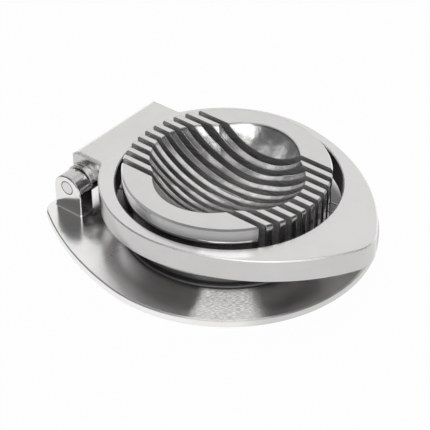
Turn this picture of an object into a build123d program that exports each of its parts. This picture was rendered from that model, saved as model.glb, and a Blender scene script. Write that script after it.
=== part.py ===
from build123d import *
import os
from math import atan2, cos, hypot, sin, sqrt

# Hinged egg slicer: a cast base with a slotted drum, and a cast frame that carries ten wires.
# Millimetres. Z is up and the base rests on Z = 0. The hinge pin runs along Y on the -X side,
# and the frame's thumb end points along +X. Every piece is drawn about the drum's axis and
# moved once, when it is written, so that the origin is under the middle of the whole length.

# Base plate
plate_apron = 19.7
plate_thickness = 3.0
plate_flank_radius = 130.0
plate_behind_pin = 9.5
plate_rear_half_width = 42.0
plate_corner_radius = 8.0
plate_edge = 0.5
standing_rim_width = 4.0
standing_rim_depth = 0.8

# Drum
drum_top = 30.0
drum_radius = 41.3
drum_wall = 3.0
drum_edge = 0.6
drum_foot = 1.0

# Crossed egg hollow: one egg shape along X and the same along Y
hollow_depth = 14.0
hollow_half_length = 33.0
hollow_half_width = 26.5
hollow_wall = 2.5

# Slots and wires
wire_count = 10
wire_pitch = 5.0
wire_diameter = 0.6
wire_tail = 0.5
slot_width = 2.6
slot_clearance_below_wire = 2.4
slot_floor_thickness = 3.0
wire_clearance_below_hollow = 0.5

# Frame
frame_top = 24.6
frame_thickness = 9.6
frame_roof = 3.0
frame_skirt = 2.6
frame_offset = 1.1
ring_clearance = 3.5
rim_width = 4.7
rim_drift = 2.6
ring_wall = 3.5
ring_lip = 1.4
ring_lip_step = 0.4
tip_length = 23.2
tip_radius = 13.5
frame_flank_radius = 84.0
frame_edge = 0.5
tip_pocket_half_width = 26.0
tip_rib_thickness = 2.0

# Hinge
pin_behind_ring = 9.7
pin_axis_z = 14.0
pin_diameter = 4.5
pin_head_diameter = 5.4
pin_head_length = 1.6
pin_running_clearance = 0.05
pin_end_gap = 0.3
pin_far_bite = 2.6
ear_half_width = 7.0
ear_thickness = 7.2
ear_top = 19.3
ear_edge = 0.4
ear_foot = 0.4
barrel_radius = 6.3
tab_behind_pin = 6.0
tab_half_width = 24.3
tab_corner_radius = 0.8
tab_root_radius = 2.0
tab_rear_round = 3.5
ear_bay_roof = 2.2
near_barrel_overhang = 2.5
near_barrel_length = 12.8
far_barrel_length = 4.0
hinge_side_gap = 0.3
rear_lip_bottom = 18.0

# Rest lugs that hold the closed frame up
lug_width = 9.0
lug_gap = 0.1

# Wire ferrules
ferrule_across_flats = 2.0
ferrule_length = 3.0
ferrule_web = 2.0
seat_clearance = 0.15
wire_notch_clearance = 0.15

# Heights and sizes that follow
hollow_floor = drum_top - hollow_depth
wire_z = hollow_floor - wire_clearance_below_hollow - wire_diameter / 2
slot_floor = wire_z - wire_diameter / 2 - slot_clearance_below_wire
frame_bottom = frame_top - frame_thickness
roof_bottom = frame_top - frame_roof
lip_bottom = frame_bottom - ring_lip
hole_radius = drum_radius + ring_clearance
rim_radius = hole_radius + rim_width
ring_wall_radius = hole_radius + ring_wall
tip_reach = hole_radius + tip_length
pin_axis_x = -(hole_radius + pin_behind_ring)
tab_rear = tab_behind_pin - pin_axis_x
plate_radius = drum_radius + plate_apron
plate_rear = plate_behind_pin - pin_axis_x
near_ear_outer = -(tab_half_width + near_barrel_overhang + hinge_side_gap + ear_thickness)
near_ear_inner = near_ear_outer + ear_thickness
near_barrel_face = near_ear_inner + hinge_side_gap
near_barrel_back = near_barrel_face + near_barrel_length
far_barrel_face = tab_half_width - far_barrel_length
far_ear_outer = far_barrel_face - hinge_side_gap
far_ear_inner = far_ear_outer - ear_thickness
tab_bay_end = far_ear_inner - hinge_side_gap
ear_top_centre = ear_top - ear_half_width
bearing_radius = pin_diameter / 2 + pin_running_clearance
pin_end = far_barrel_face + pin_far_bite
ferrule_back = ferrule_web + ferrule_length
wire_ys = [(i - (wire_count - 1) / 2) * wire_pitch for i in range(wire_count)]
middle_x = (tip_reach - plate_rear) / 2


# ---- shared shapes ----

def arc(centre, radius, start, end):
    """The shorter arc about a centre, between the rays through two points."""
    turns = [atan2(p[1] - centre[1], p[0] - centre[0]) for p in (start, end)]
    middle = sum(turns) / 2
    points = [(centre[0] + radius * cos(t), centre[1] + radius * sin(t))
              for t in (turns[0], middle, turns[1])]
    return ThreePointArc(*points)


def flank_centre(first, second, radius):
    """Centre of the arc of a radius that runs round two circles, each (x, y, radius), on their +Y side."""
    to_first = radius - first[2]
    to_second = radius - second[2]
    span = hypot(second[0] - first[0], second[1] - first[1])
    along = (span ** 2 + to_first ** 2 - to_second ** 2) / (2 * span)
    across = sqrt(to_first ** 2 - along ** 2)
    ux, uy = (second[0] - first[0]) / span, (second[1] - first[1]) / span
    sides = [(first[0] + along * ux - s * across * uy, first[1] + along * uy + s * across * ux)
             for s in (1, -1)]
    return min(sides, key=lambda c: c[1])


def touch_point(centre, circle):
    """Where an arc about a centre touches a circle that lies inside it."""
    span = hypot(circle[0] - centre[0], circle[1] - centre[1])
    return (
        circle[0] + circle[2] * (circle[0] - centre[0]) / span,
        circle[1] + circle[2] * (circle[1] - centre[1]) / span,
    )


def mirrored_face(half_edges):
    """Face inside half an outline above the X axis and its mirror image below."""
    half = Wire(half_edges)
    return make_face(half.edges() + mirror(half, about=Plane.XZ).edges())


def along_y(radius, y_from, y_to, x=pin_axis_x, z=pin_axis_z):
    """Cylinder along Y between two places."""
    plane = Plane(origin=(x, y_from, z), x_dir=(1, 0, 0), z_dir=(0, 1, 0))
    return extrude(plane * Circle(radius), y_to - y_from)


def block(x, y, z):
    """Box between pairs of limits."""
    size = [high - low for low, high in (x, y, z)]
    middle = [(low + high) / 2 for low, high in (x, y, z)]
    return Pos(*middle) * Box(*size)


def egg(grow=0.0):
    """Egg shape that lies along X, high enough for its underside to be the hollow."""
    rise = (hollow_half_width ** 2 - hollow_depth ** 2) / (2 * hollow_depth)
    girth = rise + hollow_depth
    length = hollow_half_length / sqrt(1 - (rise / girth) ** 2)
    with_axis = Plane.XY * Ellipse(length + grow, girth + grow)
    half = with_axis & (Pos(0, girth) * Rectangle(4 * length, 2 * girth))
    return Pos(0, 0, drum_top + rise) * revolve(half, Axis.X, 360)


def crossed_eggs(grow=0.0):
    """Two egg shapes at a right angle, for eggs laid either way."""
    lengthwise = egg(grow)
    return [lengthwise, Rot(0, 0, 90) * lengthwise]


# ---- base ----

def plate_outline():
    """Round plate that widens into two rear corners beside the hinge."""
    disc = (0, 0, plate_radius)
    corner_x = plate_corner_radius - plate_rear
    corner = (corner_x, plate_rear_half_width - plate_corner_radius, plate_corner_radius)
    centre = flank_centre(disc, corner, plate_flank_radius)
    disc_end = touch_point(centre, disc)
    corner_start = touch_point(centre, corner)
    corner_end = (-plate_rear, corner[1])
    return mirrored_face([
        arc((0, 0), plate_radius, (plate_radius, 0), disc_end),
        arc(centre, plate_flank_radius, disc_end, corner_start),
        arc(corner[:2], plate_corner_radius, corner_start, corner_end),
        Line(corner_end, (-plate_rear, 0)),
    ])


def ear(y_from, y_to):
    """Upright hinge ear with a round top, rooted in the plate."""
    root = plate_thickness / 2
    upright = Rectangle(2 * ear_half_width, ear_top_centre - root)
    profile = Pos(pin_axis_x, ear_top_centre) * Circle(ear_half_width)
    profile += Pos(pin_axis_x, (root + ear_top_centre) / 2) * upright
    plane = Plane(origin=(0, y_to, 0), x_dir=(1, 0, 0), z_dir=(0, -1, 0))
    solid = extrude(plane * profile, y_to - y_from)
    rims = [e for e in solid.edges() if e.bounding_box().size.Y < 0.01 and e.center().Z > plate_thickness]
    return chamfer(rims, ear_edge)


def rest_lug(side):
    """Low block at the drum's foot, under the frame's ring."""
    inner = side * (drum_radius - drum_wall / 2)
    outer = side * ring_wall_radius + frame_offset
    return block(sorted((inner, outer)), (-lug_width / 2, lug_width / 2),
                 (plate_thickness / 2, lip_bottom - lug_gap))


def underside_cavity():
    """Space under the drum: the floor of the slots and the shell of the hollow hang into it."""
    reach = drum_radius - drum_wall
    space = extrude(Circle(reach), drum_top - drum_wall)
    slots_half = wire_ys[-1] + slot_width / 2 + drum_wall
    space -= block((-drum_radius, drum_radius), (-slots_half, slots_half),
                   (slot_floor - slot_floor_thickness, drum_top))
    for shell in crossed_eggs(hollow_wall):
        space -= shell
    return space


def base_casting():
    outline = plate_outline()
    plate = extrude(outline, plate_thickness)
    plate = chamfer(plate.edges().group_by(Axis.Z)[-1], plate_edge)
    drum = extrude(Circle(drum_radius), drum_top)
    drum = chamfer(drum.edges().group_by(Axis.Z)[-1], drum_edge)
    solid = plate + drum
    foot = [e for e in solid.edges().filter_by(GeomType.CIRCLE)
            if abs(e.radius - drum_radius) < 0.01 and abs(e.center().Z - plate_thickness) < 0.01]
    solid = chamfer(foot, drum_foot)
    solid += ear(near_ear_outer, near_ear_inner) + ear(far_ear_inner, far_ear_outer)
    ear_feet = [e for e in solid.edges()
                if e.bounding_box().size.Z < 0.01 and abs(e.center().Z - plate_thickness) < 0.01
                and abs(e.center().X - pin_axis_x) < ear_half_width + 0.01
                and e.bounding_box().size.length < 3 * ear_half_width]
    solid = chamfer(ear_feet, ear_foot)
    solid += rest_lug(1) + rest_lug(-1)
    for hollow in crossed_eggs():
        solid -= hollow
    slot_reach = ring_wall_radius + frame_offset + drum_wall
    for y in wire_ys:
        solid -= block((-slot_reach, slot_reach), (y - slot_width / 2, y + slot_width / 2),
                       (slot_floor, drum_top + 1))
    solid -= underside_cavity()
    solid -= extrude(offset(outline, -standing_rim_width), standing_rim_depth)
    solid -= along_y(pin_diameter / 2, near_ear_outer, far_ear_outer)
    solid -= along_y(pin_head_diameter / 2, near_ear_outer, near_ear_outer + pin_head_length)
    return solid


# ---- frame ----

def frame_outline():
    """Round rim drawn out to a thumb tip, with a square tab over the hinge."""
    rim = (frame_offset - rim_drift, 0, rim_radius)
    tip = (tip_reach - tip_radius, 0, tip_radius)
    centre = flank_centre(rim, tip, frame_flank_radius)
    tip_end = touch_point(centre, tip)
    rim_start = touch_point(centre, rim)
    face = mirrored_face([
        arc(tip[:2], tip_radius, (tip_reach, 0), tip_end),
        arc(centre, frame_flank_radius, tip_end, rim_start),
        arc(rim[:2], rim_radius, rim_start, (rim[0] - rim_radius, 0)),
    ])
    tab_length = tab_rear + frame_offset
    face += Pos(-tab_rear + tab_length / 2, 0) * Rectangle(tab_length, 2 * tab_half_width)
    rear_corners = [v for v in face.vertices() if abs(v.X + tab_rear) < 0.01]
    face = fillet(rear_corners, tab_corner_radius)
    roots = [v for v in face.vertices() if abs(abs(v.Y) - tab_half_width) < 0.01 and v.X > pin_axis_x]
    return fillet(roots, tab_root_radius)


def tip_pocket(outline):
    """Space under the thumb end, inside the skirt, on each side of the middle rib."""
    face = offset(outline, -frame_skirt)
    face &= Pos(tip_reach / 2 + frame_offset, 0) * Rectangle(tip_reach, 2 * tip_pocket_half_width)
    face -= Pos(frame_offset, 0) * Circle(ring_wall_radius)
    face -= Pos(tip_reach, 0) * Rectangle(2 * tip_reach, tip_rib_thickness)
    sides = [s for s in face.faces()]
    space = [extrude(Pos(0, 0, frame_bottom) * s, frame_thickness - frame_roof) for s in sides]
    return space


def hinge_bays():
    """Spaces under the tab: one between the near barrel and the far ear, one round the far ear."""
    ring = Pos(frame_offset, 0, 0) * Cylinder(ring_wall_radius, 4 * drum_top)
    under_roof = (lip_bottom - 1, roof_bottom)
    closed_bay = block((-tab_rear + frame_skirt, 0), (near_barrel_back, tab_bay_end), under_roof)
    below_lip = block((-tab_rear - 1, 0), (near_barrel_back, tab_bay_end), (lip_bottom - 1, rear_lip_bottom))
    ear_bay_height = (lip_bottom - 1, frame_top - ear_bay_roof)
    ear_bay = block((-tab_rear - 1, 0), (tab_bay_end, far_barrel_face), ear_bay_height)
    return (closed_bay + below_lip + ear_bay) - ring


def tab_rear_rounding():
    """What the round along the tab's rear top edge takes away."""
    x = -tab_rear + tab_rear_round
    z = frame_top - tab_rear_round
    corner = block((-tab_rear - 1, x), (-plate_rear_half_width, plate_rear_half_width), (z, frame_top + 1))
    return corner - along_y(tab_rear_round, -plate_rear_half_width, plate_rear_half_width, x, z)


def wire_notches(y):
    """Slots for one wire through the ring, open below, each with a wider seat for its ferrule."""
    wall_x = sqrt(hole_radius ** 2 - y ** 2)
    slit = wire_diameter / 2 + wire_notch_clearance
    seat = ferrule_across_flats / 2 + seat_clearance
    cuts = []
    for side in (1, -1):
        seat_x = frame_offset + side * (wall_x + ferrule_web)
        inside_x = frame_offset + side * (wall_x - ring_wall)
        end_x = seat_x + side * (ferrule_length + 2 * wire_tail)
        for half_width, x_ends in ((slit, (inside_x, seat_x)), (seat, (seat_x, end_x))):
            cuts.append(block(sorted(x_ends), (y - half_width, y + half_width),
                              (lip_bottom - 1, wire_z + half_width)))
    return cuts


def cutting_frame():
    outline = frame_outline()
    solid = extrude(Pos(0, 0, frame_bottom) * outline, frame_thickness)
    solid -= Pos(frame_offset, 0, frame_bottom) * Cylinder(hole_radius, 4 * frame_thickness)
    solid = chamfer(solid.edges().group_by(Axis.Z)[-1], frame_edge)
    solid -= tab_rear_rounding()
    lip = Circle(ring_wall_radius - ring_lip_step) - Circle(hole_radius)
    solid += extrude(Pos(frame_offset, 0, lip_bottom) * lip, ring_lip)
    for space in tip_pocket(outline):
        solid -= space
    solid -= hinge_bays()
    solid += along_y(barrel_radius, near_barrel_face, near_barrel_back)
    solid += along_y(barrel_radius, far_barrel_face, tab_half_width)
    solid -= along_y(bearing_radius, near_barrel_face - 1, pin_end + pin_end_gap)
    for y in wire_ys:
        for cut in wire_notches(y):
            solid -= cut
    return solid


# ---- hinge pin, wires and ferrules ----

def hinge_pin():
    """Pin with a flush head, fixed in both ears."""
    shank = along_y(pin_diameter / 2, near_ear_outer, pin_end)
    return shank + along_y(pin_head_diameter / 2, near_ear_outer, near_ear_outer + pin_head_length)


def along_x(radius, x_from, x_to, y):
    """Cylinder along X at the height of the wires."""
    plane = Plane(origin=(x_from, y, wire_z), x_dir=(0, 1, 0), z_dir=(1, 0, 0))
    return extrude(plane * Circle(radius), x_to - x_from)


def cutting_wire(y):
    reach = sqrt(hole_radius ** 2 - y ** 2) + ferrule_back + wire_tail
    return along_x(wire_diameter / 2, frame_offset - reach, frame_offset + reach, y)


def wire_ferrules(y):
    """The six-sided crimps at the two ends of one wire, pressed to six flats on the wire too."""
    wall_x = sqrt(hole_radius ** 2 - y ** 2)
    pair = []
    for side in (1, -1):
        ends = [frame_offset + side * (wall_x + back) for back in (ferrule_web, ferrule_back)]
        low, high = sorted(ends)
        plane = Plane(origin=(low, y, wire_z), x_dir=(0, 1, 0), z_dir=(1, 0, 0))
        outside, inside = (RegularPolygon(flats / 2, 6, major_radius=False)
                           for flats in (ferrule_across_flats, wire_diameter))
        pair.append(extrude(plane * (outside - inside), high - low))
    return Compound(pair)


parts = {
    "base_casting": base_casting(),
    "cutting_frame": cutting_frame(),
    "hinge_pin": hinge_pin(),
}
for number, wire_y in enumerate(wire_ys, start=1):
    parts[f"cutting_wire_{number:02d}"] = cutting_wire(wire_y)
    parts[f"wire_ferrules_{number:02d}"] = wire_ferrules(wire_y)

os.makedirs("parts", exist_ok=True)
for name, shape in parts.items():
    export_step(Pos(-middle_x, 0, 0) * shape, f"parts/{name}.step")
    print(name, round(shape.volume, 2), "valid" if shape.is_valid else "not valid")
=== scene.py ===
"""Finishes and studio for a hinged cast aluminium egg slicer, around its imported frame."""
import math

import bmesh
import bpy
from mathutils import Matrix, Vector


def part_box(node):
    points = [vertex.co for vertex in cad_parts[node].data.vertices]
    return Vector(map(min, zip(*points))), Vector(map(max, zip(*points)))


bl_info = {
    "name": "Egg Slicer Finishes",
    "version": (1, 0, 0),
    "blender": (4, 5, 0),
    "location": "View3D > Sidebar > Egg Slicer",
    "description": "Cast, polished and drawn metal finishes for an egg slicer, with its studio",
    "category": "Material",
}

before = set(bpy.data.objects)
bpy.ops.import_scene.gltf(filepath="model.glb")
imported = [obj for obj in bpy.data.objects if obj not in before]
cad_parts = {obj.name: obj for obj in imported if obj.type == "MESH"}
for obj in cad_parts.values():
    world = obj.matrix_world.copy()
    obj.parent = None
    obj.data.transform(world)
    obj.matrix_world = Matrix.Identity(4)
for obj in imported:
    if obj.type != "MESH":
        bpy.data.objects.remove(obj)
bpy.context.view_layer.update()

MM = 0.001
NEARLY_ZERO = 0.0001
BLACK = (0, 0, 0, 1)
WHITE = (1, 1, 1, 1)


def band(start, end, origin=0.0):
    """Where a change starts and ends: millimetres past an origin in metres."""
    return origin + start * MM, origin + end * MM


# ---- places on the base casting ----

DRUM_X = -2.0 * MM
DRUM_RADIUS = 41.3 * MM
DRUM_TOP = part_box("base_casting")[1].z
PLATE_TOP = 3.0 * MM
SLOT_FLOOR = 12.5 * MM
SLOT_PITCH = 5.0 * MM
SLOTS_HALF_WIDTH = 23.8 * MM
SHOULDER = 6.0 * MM
EAR_X = -46.0 * MM
PIN_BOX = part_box("hinge_pin")
PIN_X = (PIN_BOX[0].x + PIN_BOX[1].x) / 2
PIN_Z = (PIN_BOX[0].z + PIN_BOX[1].z) / 2
SEAM_RADIUS = 2.85 * MM

# Direction in which the camera stands, as an angle from +X. The light and dark areas placed by
# it are fixed to the object, and no material reads the camera.
FRONT = math.radians(-51.4)
FRONT_WAY = (math.cos(FRONT), math.sin(FRONT), 0)

# Bands of radius round the drum's axis
CORE_EDGE = band(-0.9, -0.5, DRUM_RADIUS)
CREASE_RADIUS = band(-0.65, -0.5, DRUM_RADIUS)
WALL_REACH = band(0.3, 0.6, DRUM_RADIUS)
FOOT_FADE = band(0.5, 4.0, DRUM_RADIUS)
BACK_FADE = band(7.0, 13.0, DRUM_RADIUS)

# Bands of height
PLATE_FACE = band(0.1, 0.4, PLATE_TOP)
SLOT_BOTTOM = band(0.5, 1.5, SLOT_FLOOR)
DRUM_FACE = band(-0.3, -0.1, DRUM_TOP)
RIM_HEIGHT = band(-1.0, -0.5, DRUM_TOP)
CREASE_HEIGHT = band(-0.75, -0.6, DRUM_TOP)
CORNER_TOP = band(5.0, 6.0)
EAR_FOOT = band(5.0, 6.0)
WALL_FOOT = band(6.0, 8.5)
GAP_HEIGHT = band(12.0, 16.0)

# Bands along the slicer, and towards the front from its origin
EAR_FADE = band(-1.0, 0.0, EAR_X)
HINGE_FADE = band(-40.0, -12.0)
END_FADE = band(38.0, 48.0)
BEHIND_FADE = band(-10.0, 0.0)
FRONT_FADE = band(0.0, 1.0)
CREASE_FADE = band(0.0, 10.0)

# Bands of distance from the pin's seam, from the drum's corner, and down a slot's side
SEAM_WIDTH = band(0.15, 0.4)
CORNER_WIDTH = band(1.2, 2.0)
SLOT_SHADE = band(0.3, 2.5)

# Band of distance from the drum's middle line, past its last slot
SLOTS_END = band(0.0, 0.6, SLOTS_HALF_WIDTH)

# Bands of distance from a slat's middle towards -Y
SLAT_EDGE = band(0.2, 1.3)
MOUTH_EDGE = band(0.8, 1.25)

# Bands of one part of a face's direction
FACES_DOWN = (0.4, 0.8)
FACES_SLOT = (0.9, 0.96)
FACES_UP = (0.1, 0.5)

# Angles from the front at which an area starts and ends, in degrees
PATCH_ANGLES = ((-15.5, -10.5), (8.0, 18.0))
SHOULDER_ANGLES = ((-88.0, -60.0), (80.0, 85.0))

# Bands of the depth under the drum's top, as a share of the shoulder's height
SHOULDER_DULLING = (0.3, 1.1)
SHOULDER_TURN = (0.75, 1.0)
SHOULDER_END = (1.0, 1.15)
GAP_START = (1.05, 1.2)

# Height of the shoulder away from the front, as a share of its height there
BACK_SHOULDER = 0.6

# How far the shoulder's direction leans upward at its top, what it loses down its height,
# and what it loses at its turn
SHOULDER_LEAN = 0.96
SHOULDER_LEAN_LOSS = 0.06
SHOULDER_TURN_LOSS = 0.52


# ---- places on the cutting frame ----

HOLE_X = -0.9 * MM
HOLE_RADIUS = 44.8 * MM
TAB_X = -46.0 * MM
BORE_REACH = band(0.2, 0.5, HOLE_RADIUS)
HOLE_BORDER = band(4.5, 6.5, HOLE_RADIUS)
BORE_FADE = band(-5.0, 5.0)
TAB_FADE = band(-2.0, 0.0, TAB_X)
FACES_LEVEL = (0.3, 0.6)
CHAMFER_START = (0.3, 0.4)
CHAMFER_END = (0.95, 0.98)
# Angles from the front between which the painted highlight on the ring's top by the hole lies, in
# degrees
BRIGHT_ANGLES = ((-15.0, -11.0), (7.0, 12.0))


# ---- strength of each finish ----

# Share of the colour that each area of the base loses. Several are painted shade: on the plate
# round the drum's foot and behind the drum, on the wall in the gap under the frame and below the
# shoulder, in the corner where the drum meets the plate, down the slots' sides, as a dark line
# along the crease at the drum's top, and along the near edges of the slats and slot mouths
BASE_DARKENING = {
    "seam": 0.8,
    "foot": 0.5,
    "gap": 0.4,
    "corner": 0.7,
    "shaded": 0.2,
    "behind": 0.75,
    "shoulder_shade": 0.6,
    "crease": 0.6,
    "slat_edge_shade": 0.5,
    "mouth_edge_shade": 0.35,
    "rim": 0.45,
    "ear": 0.1,
    "end": 0.3,
    "unbuffed": 0.05,
}
# The same for broad areas, taken away together
BASE_TONES = {"top": 0.28, "hollow": 0.16, "wall": 0.06}
# On the frame, the far bore and the side faces are darker with painted shade
FRAME_TONES = {"bore": 0.7, "side": 0.14, "flat_tab": 0.03}

# How strongly the polishing lines show in the slots, on the slats and on the knuckles, and the
# mottling in the hollow, each about its middle
SLOT_CONTRAST = 2.2
SLAT_CONTRAST = 0.8
KNUCKLE_CONTRAST = 0.5
KNUCKLE_DARKENING = 0.55
HOLLOW_CONTRAST = 0.9
SLOT_MIDDLE = 0.45
SLAT_MIDDLE = 0.5
HOLLOW_MIDDLE = 0.35

# Plain level of each finish, as a share of its grey, and what its patterns add
BASE_LEVEL = 0.92
FRAME_LEVEL = 0.89
STEEL_LEVEL = 0.92
BASE_PATTERN = {"waves": 0.06, "mottle": 0.05, "lines": 0.05}
FRAME_PATTERN = {"waves": 0.1, "mottle": 0.08, "lines": 0.03}
STEEL_PATTERN = {"mottle": 0.1, "lines": 0.06}
STEEL_WARMTH = 0.004

# Roughness that the patterns add or take
BASE_ROUGH_PATTERN = {"lines": 0.08, "speckle": 0.04}
FRAME_ROUGH_PATTERN = {"lines": 0.08, "speckle": 0.08}
STEEL_ROUGH_PATTERN = {"lines": 0.12}

# Height of the patterns, as a share of the relief
BASE_HEIGHT = {"waves": 1.5, "mottle": 0.5, "speckle": 0.02}
HOLLOW_HEIGHT = {"waves": 4.0, "mottle": 2.5}
CAST_HEIGHT = {"speckle": 0.4}
POLISHED_HEIGHT = {"lines": 0.25}
FRAME_HEIGHT = {"waves": 1.2, "mottle": 0.8, "lines": 0.2, "speckle": 0.08}
BORE_HEIGHT = {"speckle": 0.3}
STEEL_HEIGHT = {"mottle": 1.0, "lines": 1.0}

# Roughness that each area adds or takes
BASE_ROUGHENING = {
    "unbuffed": 0.05,
    "patch": 0.16,
    "corner": 0.3,
    "hollow": 0.1,
    "behind": 0.2,
    "cast": 0.36,
}
FRAME_ROUGHENING = {"bore": 0.3, "under": -0.05, "chamfer": 0.25}

# Scale per metre and detail of the waves, mottling and speckle of each casting
BASE_GRAIN = ((95.0, 2.0), (190.0, 4.0), (1500.0, 2.0))
FRAME_GRAIN = ((60.0, 2.0), (170.0, 4.0), (1400.0, 2.0))
STEEL_MOTTLE = 500.0

# Size of a polishing line along each axis
BASE_LINES = (9 * MM, 0.3 * MM, 0.3 * MM)
TURNED_LINES = (12 * MM, 12 * MM, 0.35 * MM)
FRAME_LINES = (8 * MM, 0.4 * MM, 0.4 * MM)
WIRE_LINES = (4 * MM, 0.15 * MM, 0.15 * MM)

# Size of the brush marks on the plate, beside and towards the front
BRUSH_LENGTH = 1.6 * MM
BRUSH_WIDTH = 0.3 * MM
BRUSH_CONTRAST = (0.35, 0.65)
FAINTEST_BRUSHING = 0.6

# Rays that find the rounding of an edge
BEVEL_SAMPLES = 6

# Height of the castings' and the steel's relief
CAST_RELIEF = 0.05 * MM
STEEL_RELIEF = 0.02 * MM

# How much brighter the frame's polished metal and its painted highlight by the hole are than the
# base's, and the painted highlight's faintest share and what the mottling adds to it
EXTRA_POLISH = 0.06
FAINTEST_HIGHLIGHT = 0.6
HIGHLIGHT_MOTTLING = 0.8


# ---- studio ----

# Elevations, in degrees
HORIZON = (12, 20)
DARK_SIDE_TOP = (24, 34)
DIM_HEIGHT = (42, 50)
WINDOW_HEIGHT = (48, 56)
BACKDROP_TOP = (50, 72)
CEILING_EDGE = (72, 80)

# Cosines of the angle from straight behind the object
BACKDROP_EDGE = (0.2, 0.45)
WINDOW_BACK = (-0.3, 0.0)

# Sines of the same angle, turned anticlockwise
DIM_SIDE = (0.2, 0.4)
DARK_SIDE_EDGE = (0.5, 0.75)
WINDOW_SIDE = (0.55, 0.8)

# Share of the backdrop's light that its high side lacks
DIMMING = 0.75

LAMP_DISTANCE = 1.0
LAMP_TARGET = Vector((0, 0, 20 * MM))
FLOOR_RADIUS = 4.0
FLOOR_SIDES = 64
FLOOR_GAP = 0.2 * MM
FLOOR_COLOUR = (0.9, 0.9, 0.9, 1)
FLOOR_WHITENESS = 0.97


def sines(angles):
    """The sines of angles in degrees."""
    return [math.sin(math.radians(angle)) for angle in angles]


def toward_front(x, y):
    """How far a point lies towards the front."""
    return x * math.cos(FRONT) + y * math.sin(FRONT)


def beside_front(x, y):
    """How far a point lies to the right of the front."""
    return y * math.cos(FRONT) - x * math.sin(FRONT)


# ---- shader expressions ----

class Number:
    """A value that varies over a surface. Expressions on it add Math nodes."""

    def __init__(self, sheet, socket):
        self.sheet = sheet
        self.socket = socket

    def __add__(self, other):
        return self.sheet.math("ADD", self, other)

    __radd__ = __add__

    def __sub__(self, other):
        return self.sheet.math("SUBTRACT", self, other)

    def __rsub__(self, other):
        return self.sheet.math("SUBTRACT", other, self)

    def __mul__(self, other):
        return self.sheet.math("MULTIPLY", self, other)

    __rmul__ = __mul__

    def __truediv__(self, other):
        return self.sheet.math("DIVIDE", self, other)


class Sheet:
    """The node tree of one material or world."""

    def __init__(self, owner):
        owner.use_nodes = True
        self.tree = owner.node_tree
        self.tree.nodes.clear()

    def node(self, kind, settings=None, sockets=None):
        """Adds a node: its settings first, then the values or links of its sockets."""
        made = self.tree.nodes.new(kind)
        for name, value in (settings or {}).items():
            setattr(made, name, value)
        for name, value in (sockets or {}).items():
            if isinstance(value, Number):
                value = value.socket
            if isinstance(value, bpy.types.NodeSocket):
                self.tree.links.new(value, made.inputs[name])
            else:
                made.inputs[name].default_value = value
        return made

    def math(self, operation, *operands):
        """The result of a Math node."""
        made = self.node("ShaderNodeMath", {"operation": operation}, dict(enumerate(operands)))
        return Number(self, made.outputs[0])

    def size(self, value):
        """The value without its sign."""
        return self.math("ABSOLUTE", value)

    def most(self, first, second):
        """The larger of two values."""
        return self.math("MAXIMUM", first, second)

    def distance(self, first, second):
        """Length of a step with these two parts."""
        return self.math("SQRT", first * first + second * second)

    def rise(self, value, low, high):
        """0 below low, 1 above high and a smooth step between them."""
        made = self.node(
            "ShaderNodeMapRange",
            {"interpolation_type": "SMOOTHSTEP"},
            {"Value": value, "From Min": low, "From Max": high},
        )
        return Number(self, made.outputs[0])

    def drop(self, value, low, high):
        """1 below low, 0 above high and a smooth step between them."""
        return 1 - self.rise(value, low, high)

    def above(self, height, low, high):
        """A rise of a direction's height between two elevations in degrees."""
        return self.rise(height, *sines((low, high)))

    def blend(self, factor, first, second):
        """The first colour where factor is 0, and the second where it is 1."""
        made = self.node(
            "ShaderNodeMix", {"data_type": "RGBA"}, {"Factor": factor, 6: first, 7: second}
        )
        return made.outputs[2]

    def between(self, factor, first, second):
        """The first direction where factor is 0, and the second where it is 1."""
        mixed = self.node(
            "ShaderNodeMix", {"data_type": "VECTOR"}, {"Factor": factor, 4: first, 5: second}
        )
        return self.node(
            "ShaderNodeVectorMath", {"operation": "NORMALIZE"}, {0: mixed.outputs[1]}
        ).outputs[0]

    def parts(self, vector):
        """The three parts of a vector."""
        outputs = self.node("ShaderNodeSeparateXYZ", sockets={0: vector}).outputs
        return tuple(Number(self, output) for output in outputs)

    def joined(self, x, y, z):
        """A vector made of three values."""
        return self.node("ShaderNodeCombineXYZ", sockets={0: x, 1: y, 2: z}).outputs[0]

    def coordinate(self, name):
        """A vector of the Texture Coordinate node."""
        return self.node("ShaderNodeTexCoord").outputs[name]

    def path(self, name):
        """1 for the named kind of ray, 0 for others."""
        return Number(self, self.node("ShaderNodeLightPath").outputs[name])

    def stretched(self, point, sizes):
        """The point divided by a size along each axis, for a pattern with that grain."""
        made = self.node(
            "ShaderNodeVectorMath",
            {"operation": "MULTIPLY"},
            {0: point, 1: [1.0 / size for size in sizes]},
        )
        return made.outputs[0]

    def front(self, x, y, start, end):
        """1 on the side of the drum that faces the front, fading past these angles."""
        aside = beside_front(x - DRUM_X, y) / self.distance(x - DRUM_X, y)
        ahead = self.rise(toward_front(x, y), *FRONT_FADE)
        return ahead * self.rise(aside, *sines(start)) * self.drop(aside, *sines(end))

    def noise(self, vector, scale, detail=3.0):
        """A soft random pattern from 0 to 1."""
        made = self.node(
            "ShaderNodeTexNoise", sockets={"Vector": vector, "Scale": scale, "Detail": detail}
        )
        return Number(self, made.outputs[0])

    def lines(self, point, sizes):
        """Fine lines of the given size along each axis."""
        return self.noise(self.stretched(point, sizes), 1.0)

    def bare(self):
        """The surface's own direction."""
        return self.node("ShaderNodeNewGeometry").outputs["Normal"]

    def rounded(self, radius):
        """The surface's direction with its edges rounded."""
        made = self.node("ShaderNodeBevel", {"samples": BEVEL_SAMPLES}, {"Radius": radius})
        return made.outputs[0]

    def metal(self, colour, roughness, height, depth, edges):
        """A bare metal surface with the given rounding, finished to a height pattern."""
        relief = self.node(
            "ShaderNodeBump",
            sockets={"Strength": 1.0, "Distance": depth, "Height": height, "Normal": edges},
        )
        shader = self.node(
            "ShaderNodeBsdfPrincipled",
            sockets={
                "Base Color": colour,
                "Metallic": 1.0,
                "Roughness": roughness,
                "Normal": relief.outputs[0],
            },
        )
        self.node("ShaderNodeOutputMaterial", sockets={"Surface": shader.outputs[0]})


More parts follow.
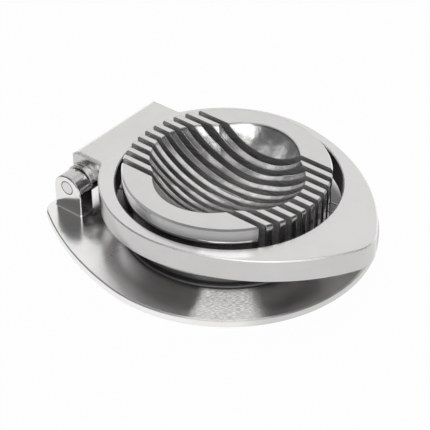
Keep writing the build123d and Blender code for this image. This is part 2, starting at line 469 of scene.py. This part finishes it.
class Layers:
    """Values that vary over a surface, each with a name."""

    def __init__(self, **values):
        self.__dict__.update(values)

    def total(self, shares):
        """The sum of the named values, each times its share."""
        return sum(getattr(self, name) * share for name, share in shares.items())

    def swing(self, shares):
        """The same sum, less what it is where every value is at its middle, 0.5."""
        return self.total(shares) - sum(shares.values()) * 0.5


def cast_grain(sheet, point, sizes):
    """The soft waves, mottling and speckle of a casting."""
    waves, mottle, speckle = (sheet.noise(point, *size) for size in sizes)
    return Layers(waves=waves, mottle=mottle, speckle=speckle)


def finish(name, node_names, surface, *details):
    """Makes the named material with its surface function and gives it to CAD nodes."""
    material = bpy.data.materials.new(name)
    surface(Sheet(material), *details)
    for node_name in node_names:
        require(node_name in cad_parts, f"the frame has no {node_name}")
        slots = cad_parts[node_name].data.materials
        slots.clear()
        slots.append(material)


def grey(level, warmth=0.0):
    """A metal's colour: an even grey, with a little red added and blue taken."""
    return (level * (1 + warmth), level, level * (1 - warmth), 1.0)


def require(done, message):
    """Stops the script with a message if something isn't done."""
    if not done:
        raise RuntimeError(message)


# ---- settings ----

class CastingSettings(bpy.types.PropertyGroup):
    """Finish of the two aluminium castings."""

    satin: bpy.props.FloatProperty(
        name="Satin brightness", description="Grey of the satin faces", default=0.68, min=0, max=1
    )
    polished: bpy.props.FloatProperty(
        name="Polished brightness",
        description="Grey of the polished faces",
        default=0.88,
        min=0,
        max=1,
    )
    warmth: bpy.props.FloatProperty(
        name="Warmth", description="How much red is added and blue taken", default=0.008
    )
    satin_roughness: bpy.props.FloatProperty(
        name="Satin roughness", description="Roughness of the satin faces", default=0.2
    )
    polished_roughness: bpy.props.FloatProperty(
        name="Polished roughness", description="Roughness of the polished faces", default=0.13
    )
    plate_roughness: bpy.props.FloatProperty(
        name="Plate roughness", description="Roughness of the plate's top", default=0.33
    )
    cast_darkening: bpy.props.FloatProperty(
        name="Cast darkening",
        description="How much darker the faces are that are left as cast",
        default=0.15,
        min=0,
        max=1,
    )
    edge_rounding: bpy.props.FloatProperty(
        name="Base edge rounding",
        description="Radius to which polishing has rounded the edges",
        default=0.5 * MM,
        unit="LENGTH",
    )
    frame_rounding: bpy.props.FloatProperty(
        name="Frame edge rounding",
        description="Radius to which polishing has rounded the frame's edges",
        default=0.3 * MM,
        unit="LENGTH",
    )
    tab_rounding: bpy.props.FloatProperty(
        name="Tab edge rounding",
        description="Radius to which the edges of the frame's hinge tab are rounded",
        default=1.8 * MM,
        unit="LENGTH",
    )
    patch_brushing: bpy.props.FloatProperty(
        name="Patch brushing",
        description="How deep the brush marks are on the plate in front of the drum",
        default=0.42,
    )


class SteelSettings(bpy.types.PropertyGroup):
    """Finish of the steel pin, wires and ferrules."""

    brightness: bpy.props.FloatProperty(
        name="Brightness", description="Grey of the steel", default=0.7, min=0, max=1
    )
    roughness: bpy.props.FloatProperty(
        name="Roughness", description="Roughness of the steel", default=0.2
    )
    pin_rounding: bpy.props.FloatProperty(
        name="Pin rounding",
        description="Radius to which the pin's edges are rounded",
        default=0.3 * MM,
        unit="LENGTH",
    )
    wire_rounding: bpy.props.FloatProperty(
        name="Wire rounding",
        description="Radius to which the wires' ends are rounded",
        default=0.05 * MM,
        unit="LENGTH",
    )
    ferrule_rounding: bpy.props.FloatProperty(
        name="Ferrule rounding",
        description="Radius to which the ferrules' edges are rounded",
        default=0.15 * MM,
        unit="LENGTH",
    )


class StudioSettings(bpy.types.PropertyGroup):
    """Camera, lamps, floor and room."""

    target: bpy.props.FloatVectorProperty(
        name="Target",
        description="Point that the camera looks at",
        default=(14.212 * MM, -27.795 * MM, 30.0 * MM),
        subtype="TRANSLATION",
    )
    camera_azimuth: bpy.props.FloatProperty(
        name="Camera azimuth",
        description="Angle from -Y towards +X at which the camera stands",
        default=math.radians(38.645),
        subtype="ANGLE",
    )
    camera_elevation: bpy.props.FloatProperty(
        name="Camera elevation",
        description="How far above the floor the camera stands",
        default=math.radians(37.095),
        subtype="ANGLE",
    )
    camera_distance: bpy.props.FloatProperty(
        name="Camera distance",
        description="From the target to the camera",
        default=556.53 * MM,
        unit="LENGTH",
    )
    lens: bpy.props.FloatProperty(
        name="Lens", description="Focal length in millimetres", default=124.8
    )
    lamp_azimuth: bpy.props.FloatProperty(
        name="Softbox azimuth",
        description="Angle from -Y towards +X at which the softbox stands",
        default=math.radians(42.5),
        subtype="ANGLE",
    )
    lamp_elevation: bpy.props.FloatProperty(
        name="Softbox elevation",
        description="How far above the floor the softbox stands",
        default=math.radians(48.0),
        subtype="ANGLE",
    )
    lamp_size: bpy.props.FloatVectorProperty(
        name="Softbox size",
        description="Width and height of the softbox",
        default=(0.62, 0.42),
        size=2,
        unit="LENGTH",
    )
    lamp_radiance: bpy.props.FloatProperty(
        name="Softbox radiance", description="Brightness of the softbox's face", default=2.1
    )
    side_azimuth: bpy.props.FloatProperty(
        name="Side softbox azimuth",
        description="Angle from -Y towards +X at which the side softbox stands",
        default=math.radians(18.0),
        subtype="ANGLE",
    )
    side_elevation: bpy.props.FloatProperty(
        name="Side softbox elevation",
        description="How far above the floor the side softbox stands",
        default=math.radians(60.0),
        subtype="ANGLE",
    )
    side_size: bpy.props.FloatVectorProperty(
        name="Side softbox size",
        description="Width and height of the side softbox",
        default=(0.34, 0.34),
        size=2,
        unit="LENGTH",
    )
    side_radiance: bpy.props.FloatProperty(
        name="Side softbox radiance",
        description="Brightness of the side softbox's face",
        default=1.8,
    )
    room: bpy.props.FloatProperty(
        name="Room", description="Brightness of the room behind the camera", default=0.16
    )
    ceiling: bpy.props.FloatProperty(
        name="Ceiling", description="Share of the backdrop's brightness overhead", default=0.7
    )
    backdrop: bpy.props.FloatProperty(
        name="Backdrop", description="Brightness of the backdrop and low walls", default=1.0
    )


# ---- base casting ----

class BaseAreas(Layers):
    """Where each kind of face of the base casting lies: 1 on it and 0 elsewhere."""

    def __init__(self, sheet, x, y, z):
        across, upward = sheet.parts(sheet.coordinate("Normal"))[1:]
        radius = sheet.distance(x - DRUM_X, y)
        toward = toward_front(x, y)
        core = sheet.drop(radius, *CORE_EDGE)
        side = sheet.rise(sheet.size(across), *FACES_SLOT)
        self.under = sheet.rise(upward * -1, *FACES_DOWN)
        self.set_plate(sheet, x, y, z, radius, toward)
        self.set_drum(sheet, y, z, core, side)
        self.set_wall(sheet, x, y, z, radius, toward, core)
        self.set_hinge(sheet, x, z, side, upward)

    def set_plate(self, sheet, x, y, z, radius, toward):
        """The plate's top, its buffed part, its darker end, and the painted shade at its foot and
        behind the drum.
        """
        self.plate = sheet.drop(z, *PLATE_FACE) * (1 - self.under)
        self.buffed = self.plate * sheet.rise(x, *HINGE_FADE)
        self.unbuffed = self.plate - self.buffed
        self.patch = self.plate * sheet.front(x, y, *PATCH_ANGLES)
        self.end = self.plate * sheet.rise(x, *END_FADE)
        # Painted shadow: the plate darker round the drum's foot, under the frame's ring
        self.foot = self.plate * sheet.drop(radius, *FOOT_FADE)
        # Painted shade on the plate behind the drum, under the far side of the ring; it is made
        # rougher there too
        self.behind = self.plate * sheet.drop(radius, *BACK_FADE) * sheet.drop(toward, *BEHIND_FADE)

    def set_drum(self, sheet, y, z, core, side):
        """The drum's top, its slots, and the hollow with its slats."""
        deep = sheet.drop(z, *SLOT_BOTTOM)
        self.top = core * sheet.rise(z, *DRUM_FACE)
        self.slot = core * (1 - self.plate) * sheet.most(side, deep)
        self.cast = sheet.most(self.slot, self.under)
        self.shaded = side * core * sheet.rise(DRUM_TOP - z, *SLOT_SHADE)
        self.hollow = core * (1 - self.top) * (1 - self.plate) * (1 - self.slot)
        self.rim = self.hollow * sheet.rise(z, *RIM_HEIGHT)
        self.unslotted = sheet.rise(sheet.size(y), *SLOTS_END)
        self.slat = self.hollow * (1 - self.unslotted)
        half = SLOT_PITCH / 2
        nearer = half - sheet.math("FLOORED_MODULO", y + half, SLOT_PITCH)
        # Painted shade: each slat's near, -Y edge and each slot mouth's near edge are darker
        self.slat_edge_shade = self.slat * sheet.rise(nearer, *SLAT_EDGE)
        self.mouth_edge_shade = self.top * (1 - self.unslotted) * sheet.rise(nearer, *MOUTH_EDGE)

    def set_wall(self, sheet, x, y, z, radius, toward, core):
        """The drum's wall with its shoulder, and the painted shade below the shoulder, in the gap
        under the frame, in its corner and along the crease at its top.
        """
        self.wall = (1 - core) * (1 - self.plate) * sheet.drop(radius, *WALL_REACH)
        front = sheet.front(x, y, *SHOULDER_ANGLES)
        share = BACK_SHOULDER + (1 - BACK_SHOULDER) * front
        self.fall = (DRUM_TOP - z) / SHOULDER / share
        # Painted shade: the wall darker below the shoulder
        self.shoulder_shade = self.wall * sheet.rise(self.fall, *SHOULDER_DULLING)
        # Painted shade on the wall in the gap under the frame, and darker towards its foot
        shadow = sheet.rise(self.fall, *GAP_START) * sheet.rise(z, *GAP_HEIGHT)
        self.gap = self.wall * (shadow + sheet.drop(z, *WALL_FOOT))
        # Painted shade in the corner where the drum meets the plate
        self.corner = sheet.drop(sheet.size(radius - DRUM_RADIUS), *CORNER_WIDTH) * (
            sheet.drop(z, *CORNER_TOP) * (1 - self.under)
        )
        # A painted dark line along the crease at the drum's top, on the front half
        self.crease = sheet.rise(radius, *CREASE_RADIUS) * sheet.rise(z, *CREASE_HEIGHT) * (
            sheet.rise(toward, *CREASE_FADE)
        )

    def set_hinge(self, sheet, x, z, side, upward):
        """The ears, their rounded tops, and the seam round the pin's head."""
        self.ear = sheet.drop(x, *EAR_FADE) * sheet.rise(z, *EAR_FOOT)
        self.knuckle = self.ear * (1 - side) * sheet.rise(upward, *FACES_UP)
        seam_distance = sheet.distance(x - PIN_X, z - PIN_Z) - SEAM_RADIUS
        self.seam = sheet.drop(sheet.size(seam_distance), *SEAM_WIDTH)


def base_surface(sheet, settings):
    """Polished plate, drum and hollow, duller slots, and painted shade in the corners and where
    other shade falls.
    """
    point = sheet.coordinate("Object")
    x, y, z = sheet.parts(point)
    areas = BaseAreas(sheet, x, y, z)
    grain = cast_grain(sheet, point, BASE_GRAIN)
    turned = sheet.lines(point, TURNED_LINES) * areas.wall
    grain.lines = sheet.lines(point, BASE_LINES) * (1 - areas.wall) + turned
    level = base_level(areas, grain, settings.cast_darkening)
    colour = sheet.blend(level, BLACK, grey(settings.polished, settings.warmth))
    roughness = (
        settings.polished_roughness
        + areas.top * (settings.satin_roughness - settings.polished_roughness)
        + areas.buffed * (settings.plate_roughness - settings.polished_roughness)
        + areas.total(BASE_ROUGHENING)
        + grain.swing(BASE_ROUGH_PATTERN)
    )
    height = (
        grain.total(BASE_HEIGHT)
        + grain.total(HOLLOW_HEIGHT) * areas.hollow
        + grain.total(CAST_HEIGHT) * areas.cast
        + grain.total(POLISHED_HEIGHT) * (1 - areas.plate)
    )
    edges = base_edges(sheet, areas, x, y, settings)
    sheet.metal(colour, roughness, height, CAST_RELIEF, edges)


def base_level(areas, grain, cast_darkening):
    """Share of the polished grey that the base has at each point."""
    level = BASE_LEVEL + grain.total(BASE_PATTERN)
    level = level * (1 - areas.cast * cast_darkening - areas.total(BASE_TONES))
    for name, share in BASE_DARKENING.items():
        level = level * (1 - getattr(areas, name) * share)
    slot_lines = areas.slot * (grain.lines - SLOT_MIDDLE) * SLOT_CONTRAST
    slat_lines = areas.slat * (grain.lines - SLAT_MIDDLE) * SLAT_CONTRAST
    level = level * (1 + slot_lines + slat_lines)
    level = level * (1 - areas.knuckle * (KNUCKLE_DARKENING - grain.lines * KNUCKLE_CONTRAST))
    return level * (1 - areas.hollow * (grain.mottle - HOLLOW_MIDDLE) * HOLLOW_CONTRAST)


def base_edges(sheet, areas, x, y, settings):
    """The base's direction: rounded edges, a soft shoulder and the brush marks on the plate."""
    edges = sheet.between(areas.corner, sheet.rounded(settings.edge_rounding), sheet.bare())
    lean = SHOULDER_LEAN - areas.fall * SHOULDER_LEAN_LOSS
    lean = lean * (1 - sheet.rise(areas.fall, *SHOULDER_TURN) * SHOULDER_TURN_LOSS)
    lean = lean * sheet.drop(areas.fall, *SHOULDER_END) * areas.unslotted * areas.wall
    edges = sheet.between(lean, edges, (0, 0, 1))
    marks = sheet.joined(beside_front(x, y) / BRUSH_LENGTH, toward_front(x, y) / BRUSH_WIDTH, 0.0)
    brushed = sheet.rise(sheet.noise(marks, 1.0), *BRUSH_CONTRAST)
    brushed = FAINTEST_BRUSHING + (1 - FAINTEST_BRUSHING) * brushed
    return sheet.between(areas.patch * brushed * settings.patch_brushing, edges, FRONT_WAY)


# ---- cutting frame ----

def frame_surface(sheet, settings):
    """Satin faces, a far bore darker with painted shade, a painted highlight by the hole, and
    bright metal underneath.
    """
    point = sheet.coordinate("Object")
    x, y = sheet.parts(point)[:2]
    upward = sheet.parts(sheet.coordinate("Normal"))[2]
    areas = frame_areas(sheet, x, y, upward)
    grain = cast_grain(sheet, point, FRAME_GRAIN)
    grain.lines = sheet.lines(point, FRAME_LINES)
    level = FRAME_LEVEL + grain.total(FRAME_PATTERN)
    # The far bore and the side faces lose colour as painted shade, and the tab's flat faces a
    # little
    level = level * (1 - areas.total(FRAME_TONES))
    colour = sheet.blend(level, BLACK, grey(settings.satin, settings.warmth))
    # The painted highlight by the hole, mottled, joins the polished metal underneath, inside the
    # near bore and on the chamfers
    mottled_highlight = areas.bright * (FAINTEST_HIGHLIGHT + grain.mottle * HIGHLIGHT_MOTTLING)
    polish_and_highlight = sheet.most(mottled_highlight, areas.under + areas.inner - areas.bore)
    polish_and_highlight = sheet.most(polish_and_highlight, areas.chamfer)
    colour = sheet.blend(
        polish_and_highlight, colour, grey(settings.polished + EXTRA_POLISH, settings.warmth)
    )
    roughness = (
        settings.satin_roughness
        + areas.total(FRAME_ROUGHENING)
        + grain.swing(FRAME_ROUGH_PATTERN)
    )
    height = grain.total(FRAME_HEIGHT) + grain.total(BORE_HEIGHT) * areas.bore
    edges = sheet.between(
        areas.tab, sheet.rounded(settings.frame_rounding), sheet.rounded(settings.tab_rounding)
    )
    sheet.metal(colour, roughness, height, CAST_RELIEF, edges)


def frame_areas(sheet, x, y, upward):
    """Where each kind of face of the frame lies: 1 on it and 0 elsewhere."""
    radius = sheet.distance(x - HOLE_X, y)
    side = sheet.drop(sheet.size(upward), *FACES_LEVEL)
    inner = side * sheet.drop(radius, *BORE_REACH)
    tab = sheet.drop(x, *TAB_FADE)
    # Painted highlight: the ring's top by the hole, towards the front
    highlight_by_hole = sheet.drop(radius, *HOLE_BORDER) * sheet.front(x, y, *BRIGHT_ANGLES)
    return Layers(
        under=sheet.rise(upward * -1, *FACES_DOWN),
        side=side,
        inner=inner,
        # The far half of the bore's wall: darker with painted shade, and rougher
        bore=inner * sheet.drop(toward_front(x, y), *BORE_FADE),
        chamfer=sheet.rise(upward, *CHAMFER_START) * sheet.drop(upward, *CHAMFER_END),
        tab=tab,
        flat_tab=tab * (1 - side),
        bright=(1 - side) * highlight_by_hole,
    )


# ---- steel pieces ----

def steel_surface(sheet, settings, rounding):
    """Drawn or pressed steel with a fine grain along the wires."""
    point = sheet.coordinate("Object")
    grain = Layers(mottle=sheet.noise(point, STEEL_MOTTLE), lines=sheet.lines(point, WIRE_LINES))
    level = STEEL_LEVEL + grain.total(STEEL_PATTERN)
    colour = sheet.blend(level, BLACK, grey(settings.brightness, STEEL_WARMTH))
    roughness = settings.roughness + grain.swing(STEEL_ROUGH_PATTERN)
    height = grain.total(STEEL_HEIGHT)
    sheet.metal(colour, roughness, height, STEEL_RELIEF, sheet.rounded(rounding))


# ---- operators ----

class EGGSLICER_OT_finish_base(bpy.types.Operator):
    """Polishes the base casting's plate, drum and hollow, and leaves its slots duller"""

    bl_idname = "eggslicer.finish_base"
    bl_label = "Finish the base"

    def execute(self, context):
        settings = context.scene.eggslicer_castings
        finish("cast_base", ["base_casting"], base_surface, settings)
        return {"FINISHED"}


class EGGSLICER_OT_finish_frame(bpy.types.Operator):
    """Gives the cutting frame its satin top, fine polishing lines and soft mottling"""

    bl_idname = "eggslicer.finish_frame"
    bl_label = "Finish the cutting frame"

    def execute(self, context):
        settings = context.scene.eggslicer_castings
        finish("cast_frame", ["cutting_frame"], frame_surface, settings)
        return {"FINISHED"}


class EGGSLICER_OT_finish_steel(bpy.types.Operator):
    """Gives the pin, the wires and the ferrules their drawn and pressed steel"""

    bl_idname = "eggslicer.finish_steel"
    bl_label = "Finish the steel pieces"

    def execute(self, context):
        settings = context.scene.eggslicer_steel
        groups = {
            "ground_pin": ("hinge_pin", settings.pin_rounding),
            "drawn_wire": ("cutting_wire", settings.wire_rounding),
            "pressed_ferrule": ("ferrules", settings.ferrule_rounding),
        }
        for name, (word, rounding) in groups.items():
            node_names = [node_name for node_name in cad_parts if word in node_name]
            require(node_names, f"the frame has no node for {name}")
            finish(name, node_names, steel_surface, settings, rounding)
        return {"FINISHED"}


class EGGSLICER_OT_set_stage(bpy.types.Operator):
    """Sets the floor, the room, the two softboxes and the camera"""

    bl_idname = "eggslicer.set_stage"
    bl_label = "Set the stage"

    def execute(self, context):
        studio = context.scene.eggslicer_studio
        self.set_floor(context)
        self.set_room(context.scene, studio)
        self.set_lamp(context, "softbox", studio.lamp_azimuth, studio.lamp_elevation,
                      studio.lamp_size, studio.lamp_radiance)
        self.set_lamp(context, "side_softbox", studio.side_azimuth, studio.side_elevation,
                      studio.side_size, studio.side_radiance)
        self.set_camera(context, studio)
        context.scene.view_settings.view_transform = "Standard"
        return {"FINISHED"}

    def set_floor(self, context):
        """Lays a pale round floor just under the object, which takes its shadow."""
        mesh = bpy.data.meshes.new("floor")
        made = bmesh.new()
        bmesh.ops.create_circle(
            made, cap_ends=True, radius=FLOOR_RADIUS, segments=FLOOR_SIDES
        )
        bmesh.ops.translate(made, verts=made.verts, vec=(0, 0, -FLOOR_GAP))
        made.to_mesh(mesh)
        made.free()
        floor = bpy.data.objects.new("floor", mesh)
        context.collection.objects.link(floor)
        material = bpy.data.materials.new("studio_floor")
        mesh.materials.append(material)
        self.paint_floor(Sheet(material))

    def paint_floor(self, sheet):
        """White to the camera and in reflections, and a matt pale grey to other rays."""
        seen = sheet.path("Is Camera Ray") + sheet.path("Is Glossy Ray")
        seen = sheet.math("MINIMUM", seen + sheet.path("Is Transmission Ray"), 1.0)
        matt = sheet.node("ShaderNodeBsdfDiffuse", sockets={"Color": FLOOR_COLOUR})
        white = sheet.node("ShaderNodeEmission", sockets={"Color": WHITE})
        shader = sheet.node(
            "ShaderNodeMixShader",
            sockets={0: seen * FLOOR_WHITENESS, 1: matt.outputs[0], 2: white.outputs[0]},
        )
        sheet.node("ShaderNodeOutputMaterial", sockets={"Surface": shader.outputs[0]})

    def set_room(self, scene, studio):
        """Gives the world a bright backdrop, horizon, high window and ceiling in a dim room."""
        world = bpy.data.worlds.new("studio_room")
        scene.world = world
        sheet = Sheet(world)
        x, y, z = sheet.parts(sheet.coordinate("Generated"))
        back_x = -math.sin(studio.camera_azimuth)
        back_y = math.cos(studio.camera_azimuth)
        flat = sheet.distance(x, y) + NEARLY_ZERO
        behind = (x * back_x + y * back_y) / flat
        aside = (y * back_x - x * back_y) / flat
        dim = sheet.rise(aside, *DIM_SIDE) * sheet.above(z, *DIM_HEIGHT) * DIMMING
        backdrop = sheet.rise(behind, *BACKDROP_EDGE) * (1 - sheet.above(z, *BACKDROP_TOP))
        pale = sheet.most(backdrop * (1 - dim), 1 - sheet.above(z, *HORIZON))
        dark_side = sheet.rise(aside, *DARK_SIDE_EDGE) * (1 - sheet.above(z, *DARK_SIDE_TOP))
        window = sheet.rise(aside, *WINDOW_SIDE) * sheet.rise(behind, *WINDOW_BACK)
        window = window * sheet.above(z, *WINDOW_HEIGHT)
        overhead = sheet.most(window, sheet.above(z, *CEILING_EDGE))
        pale = sheet.most(pale * (1 - dark_side), overhead * studio.ceiling)
        level = studio.room + pale * (studio.backdrop - studio.room)
        level = level + sheet.path("Is Camera Ray") * (1 - level)
        shader = sheet.node("ShaderNodeBackground", sockets={"Color": WHITE, "Strength": level})
        sheet.node("ShaderNodeOutputWorld", sockets={"Surface": shader.outputs[0]})

    def set_lamp(self, context, name, azimuth, elevation, size, radiance):
        """Stands a rectangular softbox round the object, with a face of that radiance."""
        width, height = size
        light = bpy.data.lights.new(name, "AREA")
        light.shape = "RECTANGLE"
        light.size = width
        light.size_y = height
        light.energy = radiance * math.pi * width * height
        lamp = bpy.data.objects.new(name, light)
        context.collection.objects.link(lamp)
        self.stand(lamp, LAMP_TARGET, azimuth, elevation, LAMP_DISTANCE)

    def set_camera(self, context, studio):
        """Places the camera and makes it the scene's own."""
        data = bpy.data.cameras.new("camera")
        data.lens = studio.lens
        camera = bpy.data.objects.new("camera", data)
        context.collection.objects.link(camera)
        self.stand(camera, Vector(studio.target), studio.camera_azimuth,
                   studio.camera_elevation, studio.camera_distance)
        context.scene.camera = camera

    def stand(self, thing, target, azimuth, elevation, distance):
        """Places a lamp or camera round a target, facing it."""
        back = Vector((
            math.sin(azimuth) * math.cos(elevation),
            -math.cos(azimuth) * math.cos(elevation),
            math.sin(elevation),
        ))
        thing.location = target + back * distance
        thing.rotation_euler = back.to_track_quat("Z", "Y").to_euler()


class EGGSLICER_PT_panel(bpy.types.Panel):
    """Lists the egg slicer's operators"""

    bl_idname = "EGGSLICER_PT_panel"
    bl_label = "Egg Slicer"
    bl_space_type = "VIEW_3D"
    bl_region_type = "UI"
    bl_category = "Egg Slicer"

    def draw(self, context):
        for operator in OPERATORS:
            self.layout.operator(operator.bl_idname)


SETTINGS = {
    "eggslicer_castings": CastingSettings,
    "eggslicer_steel": SteelSettings,
    "eggslicer_studio": StudioSettings,
}
OPERATORS = (
    EGGSLICER_OT_finish_base,
    EGGSLICER_OT_finish_frame,
    EGGSLICER_OT_finish_steel,
    EGGSLICER_OT_set_stage,
)


def register():
    """Registers the classes and keeps each group of settings on the scene."""
    for settings in SETTINGS.values():
        bpy.utils.register_class(settings)
    for operator in OPERATORS:
        bpy.utils.register_class(operator)
    bpy.utils.register_class(EGGSLICER_PT_panel)
    for name, settings in SETTINGS.items():
        setattr(bpy.types.Scene, name, bpy.props.PointerProperty(type=settings))


def unregister():
    """Takes the settings and the classes away again."""
    for name in SETTINGS:
        delattr(bpy.types.Scene, name)
    bpy.utils.unregister_class(EGGSLICER_PT_panel)
    for operator in reversed(OPERATORS):
        bpy.utils.unregister_class(operator)
    for settings in reversed(SETTINGS.values()):
        bpy.utils.unregister_class(settings)


def main():
    """Finishes the pieces and sets the stage."""
    register()
    bpy.ops.eggslicer.finish_base()
    bpy.ops.eggslicer.finish_frame()
    bpy.ops.eggslicer.finish_steel()
    bpy.ops.eggslicer.set_stage()


if __name__ == "__main__":
    main()
